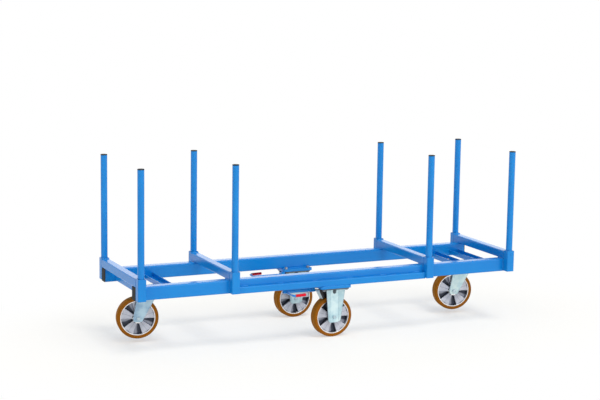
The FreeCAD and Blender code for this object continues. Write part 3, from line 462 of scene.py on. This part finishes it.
def closed_tubes(rows, columns, count):
    """Faces over count grids of rows by columns: quads that wrap round the columns, and caps at the ends."""
    index = np.arange(count * rows * columns).reshape(count, rows, columns)
    near, far = index[:, :-1], index[:, 1:]
    quads = np.stack([near, np.roll(near, -1, axis=2), np.roll(far, -1, axis=2), far], axis=-1)
    caps = np.concatenate([index[:, 0, ::-1], index[:, -1]])
    return quads.reshape(-1, 4).tolist() + caps.tolist()


def mesh_piece(name, points, faces, material, body):
    """A mesh object at the origin, smooth but for its sharp bends, its faces turned outwards, that rides on a
    body."""
    sharp_bend = math.radians(40)
    mesh = bpy.data.meshes.new(name)
    mesh.from_pydata(points.reshape(-1, 3).tolist(), [], faces)
    shell = bmesh.new()
    shell.from_mesh(mesh)
    bmesh.ops.recalc_face_normals(shell, faces=shell.faces)
    shell.to_mesh(mesh)
    shell.free()
    mesh.polygons.foreach_set("use_smooth", np.ones(len(mesh.polygons), dtype=bool))
    mesh.set_sharp_from_angle(angle=sharp_bend)
    mesh.materials.append(material)
    mesh.update()
    piece = bpy.data.objects.new(name, mesh)
    scene.collection.objects.link(piece)
    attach(piece, body)


# Wheel faces

def spoke_faces(centre, axle):
    """Five broad cast spokes on each side of a wheel, each over two neighbouring ribs. At radius r the
    section is a trapezium with rounded upper corners. Its half width is r times the half angle, plus the
    ribs' half thickness. Its height is the ribs' dish,
    least + slope sqrt((r - waist)^2 + soft^2) - tilt (r - waist),
    which falls away in a quarter circle at the rim."""
    first = 0.034
    last = 0.0975
    rounding = 0.003
    rib_half = 0.0033
    fall = last - rounding * np.linspace(0.75, 0.0, 5) ** 2
    radius = np.concatenate([np.linspace(first, last - rounding, 10), fall])
    half = radius * SPOKE_HALF_ANGLE + rib_half

    waist = 0.0645
    least = 0.0206
    slope = 0.1644
    soft = 0.006
    tilt = 0.0822
    from_waist = radius - waist
    dish = least + slope * np.sqrt(from_waist ** 2 + soft ** 2) - tilt * from_waist
    past = np.clip((radius - last + rounding) / rounding, 0.0, 1.0)
    top = dish - rounding * (1 - np.sqrt(1 - past ** 2))

    # One side of the section: the foot, wider by the draft, the rounded corner and two points of the crown
    foot = 0.004
    draft = 0.003
    corner = 0.002
    crown = 0.002
    bend = np.linspace(0.0, np.pi / 2, 5)
    crown_points = -(corner + crown) * np.array([1.0, 2.0])
    across_half = np.concatenate([[draft], -corner * (1 - np.cos(bend)), crown_points])
    below_top = np.concatenate([[0.0], corner * (1 - np.sin(bend)), [0.0, 0.0]])
    wide = half[:, None] + across_half[None, :]
    high = top[:, None] - below_top[None, :]
    high[:, 0] = foot
    wide = np.concatenate([wide, -wide[:, ::-1]], axis=1)
    high = np.concatenate([high, high[:, ::-1]], axis=1)

    level = np.cross(axle, UP)
    points = []
    for side in (-1, 1):
        for spoke in range(SPOKES):
            angle = SPOKE_HALF_ANGLE + 2 * math.pi / SPOKES * spoke
            outward = level * math.cos(angle) + np.array(UP) * math.sin(angle)
            aside = np.cross(outward, axle)
            flat = radius[:, None, None] * outward + wide[..., None] * aside
            points.append(centre + flat + side * high[..., None] * np.array(axle))
    rows, columns = wide.shape
    return np.array(points), closed_tubes(rows, columns, len(points))


# Weld beads

def weld_beads(starts, ends, radius):
    """Tubes from start to end with rounded tips. The radius is
    radius * sqrt(1 - (2t - 1)^blunt) * (1 + swing sin(2 pi length t / pitch + cos(angle) + phase)),
    so that each ripple is a crescent, and every bead starts its ripples at another phase."""
    rows = 56
    columns = 10
    pitch = 0.0042
    swing = 0.10
    blunt = 12
    run = ends - starts
    length = np.linalg.norm(run, axis=1)[:, None, None]
    forward = run / length[:, :, 0]
    upright = np.abs(forward[:, 2:3]) > 0.5
    side = np.where(upright, np.array([[1.0, 0.0, 0.0]]), np.array([UP]))
    other = np.cross(forward, side)
    # Rows lie closer together towards the tips
    even = np.linspace(0.0, 1.0, rows)
    t = (0.65 * even + 0.35 * (0.5 - 0.5 * np.cos(np.pi * even)))[None, :, None]
    angle = np.linspace(0.0, 2 * np.pi, columns, endpoint=False)[None, None, :]
    phase = 1.7 * np.arange(len(starts))[:, None, None]
    ripple = 1 + swing * np.sin(2 * np.pi * length * t / pitch + np.cos(angle) + phase)
    swell = radius * np.sqrt(np.maximum(1 - np.abs(2 * t - 1) ** blunt, 1e-6)) * ripple
    centre = starts[:, None, None, :] + run[:, None, None, :] * t[..., None]
    ring = np.cos(angle)[..., None] * side[:, None, None, :]
    ring = ring + np.sin(angle)[..., None] * other[:, None, None, :]
    return centre + swell[..., None] * ring, closed_tubes(rows, columns, len(starts))


def frame_seams():
    """Start and end of every weld that is made: bearers on rails, pockets on rails and bearers, strips on
    rails in short stitches, and castor pads under rails."""
    stitch_count = 6
    stitch_length = 0.04
    stitch_margin = 0.03
    pad_margin = 0.012
    end_margin = 0.01
    top_margin = 0.002
    strip_margin = 0.003
    pocket_margin = 0.005
    bearer_margin = 0.004
    inner_overrun = 0.004
    outer_margin = 0.001
    seams = []
    pads_low, pads_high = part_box("castor_pads")
    bearers = [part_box(f"cross_bearer_{number}") for number in NUMBERS]
    pocket_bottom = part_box("stake_pockets")[0].z
    for side, word in zip((-1, 1), SIDES):
        rail_low, rail_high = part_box(f"rail_{word}")
        strip_low, strip_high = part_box(f"side_strip_{word}")
        inner, outer = (rail_high.y, rail_low.y) if side < 0 else (rail_low.y, rail_high.y)
        strip_face = strip_low.y if side < 0 else strip_high.y
        top = rail_high.z
        across_start = inner - side * inner_overrun
        across_end = outer - side * outer_margin
        for low, high in bearers:
            for x in (low.x, high.x):
                on_rail = rail_low.x + end_margin < x < rail_high.x - end_margin
                beside_strip = strip_low.x - end_margin < x < strip_high.x + end_margin
                foot = strip_high.z + strip_margin if beside_strip else pocket_bottom + pocket_margin
                # Across the rail's top beside a bearer, and up the rail's side beside its pocket
                if on_rail:
                    seams.append(((x, across_start, top), (x, across_end, top)))
                    seams.append(((x, outer, foot), (x, outer, top - top_margin)))
            seams.append(((low.x + bearer_margin, outer, high.z), (high.x - bearer_margin, outer, high.z)))
        last_stitch = strip_high.x - stitch_margin - stitch_length
        for x in np.linspace(strip_low.x + stitch_margin, last_stitch, stitch_count):
            seams.append(((x, outer, strip_high.z), (x + stitch_length, outer, strip_high.z)))
        pad_start = pads_low.x + pad_margin
        pad_end = pads_high.x - pad_margin
        for y in (inner, strip_face):
            seams.append(((pad_start, y, rail_low.z), (pad_end, y, rail_low.z)))
    return np.array(seams)


blue_coat = powder_coat("blue_powder_coat")
BEAD_RADIUS = 0.0034
seams = frame_seams()
bead_points, bead_faces = weld_beads(seams[:, 0], seams[:, 1], BEAD_RADIUS)
mesh_piece("frame_weld_beads", bead_points, bead_faces, blue_coat, "frame")


# Pocket screw

def turned_button(centre, outward, across):
    """A button turned round outward. Its height over the radius r is a dome, rise sqrt(1 - (r / edge)^2),
    less a recess, depth / (1 + (r / recess)^8), and its rim closes just below the face that it sits on."""
    edge = 0.0085
    rise = 0.0050
    depth = 0.0043
    recess = 0.0042
    sunk = 0.0005
    radius = edge * np.sin(np.linspace(0.02, np.pi / 2, 18))
    dome = rise * np.sqrt(np.maximum(1 - (radius / edge) ** 2, 0.0))
    height = np.append(dome - depth / (1 + (radius / recess) ** 8), -sunk)
    radius = np.append(radius, edge)
    angle = np.linspace(0.0, 2 * np.pi, 28, endpoint=False)
    upward = np.cross(outward, across)
    ring = np.cos(angle)[:, None] * np.array(across) + np.sin(angle)[:, None] * upward
    points = centre + radius[:, None, None] * ring + height[:, None, None] * np.array(outward)
    return points, closed_tubes(len(radius), len(angle), 1)


SCREW_ASIDE = 0.002
SCREW_DROP = 0.018
last_low, last_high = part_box("cross_bearer_4")
pockets_low, pockets_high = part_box("stake_pockets")
screw_x = (last_low.x + last_high.x) / 2 + SCREW_ASIDE
screw_place = np.array((screw_x, pockets_low.y, pockets_high.z - SCREW_DROP))
screw_points, screw_faces = turned_button(screw_place, (0.0, -1.0, 0.0), (1.0, 0.0, 0.0))
mesh_piece("pocket_screw", screw_points, screw_faces, blue_coat, "frame")


# Finishes on the pieces

def dress(names, material):
    """Give a finish to whole nodes."""
    for name in names:
        nodes[name].data.materials.clear()
        nodes[name].data.materials.append(material)


RUB_DEPTH = 0.002
RUB_HEIGHT = 0.0015
bearer_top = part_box("cross_bearer_1")[1].z
rubbed_coat = powder_coat("blue_powder_coat_rubbed", bearer_top - RUB_DEPTH, RUB_HEIGHT)
dress(["stake_pockets", "castor_channels", "castor_pads", "brake_blocks"], blue_coat)
dress([f"{piece}_{side}" for piece in ("rail", "side_strip", "brake_crank") for side in SIDES], blue_coat)
dress([f"stake_{side}_{number}" for side in SIDES for number in NUMBERS], blue_coat)
dress([f"cross_bearer_{number}" for number in NUMBERS], rubbed_coat)

swivel_zinc = zinc_plate("zinc_plate", tint(190, 212, 220), tint(214, 226, 226))
dress([f"swivel_plate_{end}" for end in ENDS], swivel_zinc)
bolt_zinc = zinc_plate("bolt_zinc", tint(132, 142, 150), tint(168, 176, 180))
dress(["castor_bolts", "kingpins"], bolt_zinc)
axle_zinc = zinc_plate("axle_zinc", tint(168, 190, 200), tint(196, 212, 218))
dress([f"fixed_axle_{side}" for side in SIDES] + [f"swivel_axle_{end}" for end in ENDS], axle_zinc)

black_cap = moulded_plastic("black_cap_plastic", tint(10, 13, 15), tint(24, 29, 32), 0.50)
dress(["rail_end_plugs"], black_cap)
dress([f"stake_cap_{side}_{number}" for side in SIDES for number in NUMBERS], black_cap)
red_sleeve = moulded_plastic("red_sleeve_plastic", tint(200, 0, 30), tint(222, 4, 44), 0.34)
dress([f"pedal_sleeve_{side}" for side in SIDES], red_sleeve)
dress([f"brake_shoe_{side}" for side in SIDES], black_paint())

# The thickness of a fixed bracket's top plate and a hair more
PLATE_DEPTH = 0.0062
spins = [joint for joint in frame["joints"] if joint["name"].startswith("wheel_spin")]
axles = {joint["child"]: joint["axis"] for joint in spins}
for wheel in SIDES + ENDS:
    tyre_low, tyre_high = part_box(f"{wheel}_tread")
    hub = tuple((tyre_low + tyre_high) / 2)
    axle = tuple(Vector(axles[f"wheel_{wheel}"]).normalized())
    holder = f"fixed_bracket_{wheel}" if wheel in SIDES else f"swivel_fork_{wheel}"
    plate_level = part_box(holder)[1].z - PLATE_DEPTH if wheel in SIDES else None
    dark, pale = HOLDER_TONES_PAINTED_SHADE[wheel]
    dress([holder], zinc_plate(f"zinc_plate_{wheel}", dark, pale, hub, axle, plate_level))
    casting = cast_aluminium(f"cast_aluminium_{wheel}", hub, axle)
    dress([f"{wheel}_wheel_centre"], casting)
    spoke_points, spoke_sides = spoke_faces(np.array(hub), axle)
    mesh_piece(f"{wheel}_wheel_spokes", spoke_points, spoke_sides, casting,
               f"wheel_{wheel}")
    dress([f"{wheel}_tread"], polyurethane(f"brown_polyurethane_{wheel}", hub, axle))
    dress([f"{wheel}_wheel_bearings"], bearing_steel(f"bearing_steel_{wheel}", hub, axle))


# Studio

def studio_floor():
    """A pale floor that keeps the shadow near the cart and is plain white further out."""
    bpy.ops.mesh.primitive_plane_add(size=60.0)
    floor = bpy.context.object
    floor.name = "studio_floor"
    off_white = (0.985, 0.980, 0.925, 1.0)
    paper = Finish("studio_paper", Base_Color=off_white, Roughness=0.9, Specular_IOR_Level=0.1)
    # The white starts on an oval round the cart, longer along the rails
    oval = paper.stretched(paper.place(), 0.58, 1.0, 1.0)
    distance = paper.node("ShaderNodeVectorMath", {"operation": "LENGTH"}, {0: oval}, out="Value")
    white_share = (0.45 + 0.55 * paper.step(distance, 0.85, 1.5)) * paper.seen()
    glow = paper.node("ShaderNodeEmission", None, {"Color": WHITE, "Strength": 1.0})
    surface = Wire(paper, paper.surface.outputs[0])
    mixed = paper.node("ShaderNodeMixShader", None, {0: white_share, 1: surface, 2: glow})
    paper.join(mixed, "Material Output", "Surface")
    floor.data.materials.append(paper.material)


def studio_world(fill):
    """Even surroundings: plain white to the eye and in reflections, and the fill colour as light."""
    world = bpy.data.worlds.new("studio_white")
    world.use_nodes = True
    scene.world = world
    around = Graph(world.node_tree)
    around.join(around.blend(around.seen(), fill, WHITE), "Background", "Color")


def distant_softbox(name, place, width, level):
    """A large far lamp, width degrees across. A white face square to it is level bright by it alone."""
    warm_white = (1.045, 1.0, 0.94)
    lamp = bpy.data.lights.new(name, "SUN")
    lamp.angle = math.radians(width)
    lamp.energy = level * math.pi
    lamp.color = warm_white
    box = bpy.data.objects.new(name, lamp)
    box.location = place
    box.rotation_euler = (-Vector(place)).to_track_quat("-Z", "Y").to_euler()
    scene.collection.objects.link(box)


def photograph_camera():
    """The photograph's camera: where it stood, its turn, dip and roll, and its focal length in pixels of
    the frame's width."""
    stand = (-4.19585, -8.88332, 2.36521)
    turn = math.radians(-24.862)
    dip = math.radians(-9.097)
    roll = math.radians(0.849)
    focal_pixels = 1616.10
    frame_pixels = 600
    sensor_millimetres = 36.0
    ahead = Vector((-math.sin(turn) * math.cos(dip), math.cos(turn) * math.cos(dip), math.sin(dip)))
    level = Vector((math.cos(turn), math.sin(turn), 0.0))
    above = level.cross(ahead)
    right = level * math.cos(roll) + above * math.sin(roll)
    up = above * math.cos(roll) - level * math.sin(roll)
    lens = bpy.data.cameras.new("photograph_camera")
    lens.sensor_fit = "HORIZONTAL"
    lens.sensor_width = sensor_millimetres
    lens.lens = focal_pixels / frame_pixels * sensor_millimetres
    lens.clip_end = 200.0
    camera = bpy.data.objects.new("photograph_camera", lens)
    axes = Matrix((right, up, -ahead)).transposed().to_4x4()
    camera.matrix_world = Matrix.Translation(stand) @ axes
    scene.collection.objects.link(camera)
    scene.camera = camera


studio_floor()
studio_world(fill=(0.480, 0.495, 0.530, 1.0))
distant_softbox("overhead_softbox", (0.4, -1.4, 4.0), width=24.0, level=0.32)
distant_softbox("front_softbox", (2.0, -5.0, 2.2), width=70.0, level=0.40)
distant_softbox("left_softbox", (-5.0, -1.6, 1.8), width=80.0, level=0.16)
distant_softbox("back_softbox", (4.4, 8.9, 2.1), width=40.0, level=0.08)
photograph_camera()
scene.view_settings.view_transform = "Standard"
